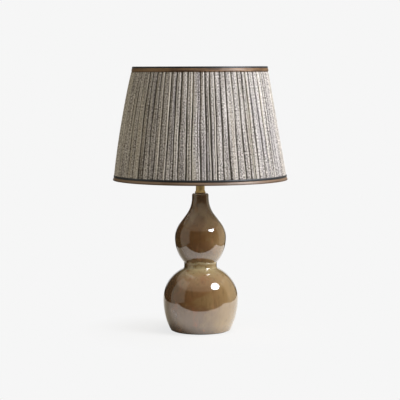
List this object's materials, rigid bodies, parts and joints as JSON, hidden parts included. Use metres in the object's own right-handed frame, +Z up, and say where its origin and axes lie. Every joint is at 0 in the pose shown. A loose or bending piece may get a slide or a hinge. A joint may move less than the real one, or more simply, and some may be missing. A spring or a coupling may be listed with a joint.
{
  "type": "table lamp",
  "caption": "Table lamp with a glazed double gourd body, brass neck, harp with finial and a tapered pleated cloth shade with two-tone trim.",
  "frame": {"origin": "middle of the underside of the felt pad, on the lamp's axis", "axes": "+Z up along the lamp's axis, -Y to the front where the switch knob points, X along the harp"},
  "size_m": [0.3579, 0.3578, 0.5451],
  "materials": {
    "glaze": "glossy brown glaze",
    "felt": "green-black wool felt",
    "steel": "zinc plated",
    "brass": "antiqued",
    "rubber": "matt",
    "linen": "slubby linen, pleated",
    "brown_tape": "silky",
    "navy_tape": "silky",
    "liner_film": "translucent white",
    "white_wire": "white enamel",
    "black_plastic": "moulded",
    "fibre": "vulcanised fibre",
    "bulb_glass": "frosted",
    "cap_metal": "rolled"
  },
  "bodies": {
    "base": {"foot_felt": "felt", "ceramic_body": "glaze", "threaded_rod": "steel", "bottom_washer": "steel", "bottom_lock_washer": "steel", "bottom_nut": "steel", "cord_grommet": "rubber", "neck_gasket": "rubber", "brass_neck": "brass", "harp_saddle": "brass", "socket_cap": "brass", "socket_cap_screw": "steel", "socket_shell": "brass", "socket_liner": "fibre", "socket_core": "black_plastic", "screw_shell": "cap_metal", "centre_contact": "brass", "terminal_screws": "brass"},
    "harp": {"harp": "brass", "harp_stud": "brass"},
    "sleeve_left": {"harp_sleeve_left": "brass"},
    "sleeve_right": {"harp_sleeve_right": "brass"},
    "shade": {"spider": "brass", "shade_top_ring": "white_wire", "shade_bottom_ring": "white_wire", "shade_liner": "liner_film", "shade_fabric": "linen", "top_binding": "brown_tape", "top_piping": "navy_tape", "bottom_binding": "brown_tape", "bottom_piping": "navy_tape"},
    "finial": {"finial": "brass"},
    "switch": {"switch_stem": "brass", "switch_knob": "black_plastic"},
    "bulb": {"bulb_contact": "steel", "bulb_insulator": "black_plastic", "bulb_cap": "cap_metal", "bulb_glass": "bulb_glass", "bulb_mount": "bulb_glass", "bulb_filament": "steel"}
  },
  "joints": [
    {"name": "harp_lift", "type": "slide", "parent": "base", "child": "harp", "axis": [0, 0, 1], "range_m": [0, 0.014]},
    {"name": "sleeve_left_lift", "type": "slide", "parent": "harp", "child": "sleeve_left", "axis": [0, 0, 1], "range_m": [0, 0.018]},
    {"name": "sleeve_right_lift", "type": "slide", "parent": "harp", "child": "sleeve_right", "axis": [0, 0, 1], "range_m": [0, 0.018]},
    {"name": "shade_swivel", "type": "hinge", "parent": "harp", "child": "shade", "pos_m": [0, 0, 0.512], "axis": [0, 0, 1], "continuous": true},
    {"name": "finial_turn", "type": "hinge", "parent": "harp", "child": "finial", "pos_m": [0, 0, 0.5142], "axis": [0, 0, 1], "range_deg": [0, 3600]},
    {"name": "switch_turn", "type": "hinge", "parent": "base", "child": "switch", "pos_m": [0, -0.0285, 0.3345], "axis": [0, -1, 0], "continuous": true},
    {"name": "bulb_turn", "type": "hinge", "parent": "base", "child": "bulb", "pos_m": [0, 0, 0.3703], "axis": [0, 0, 1], "range_deg": [0, 1440]}
  ]
}
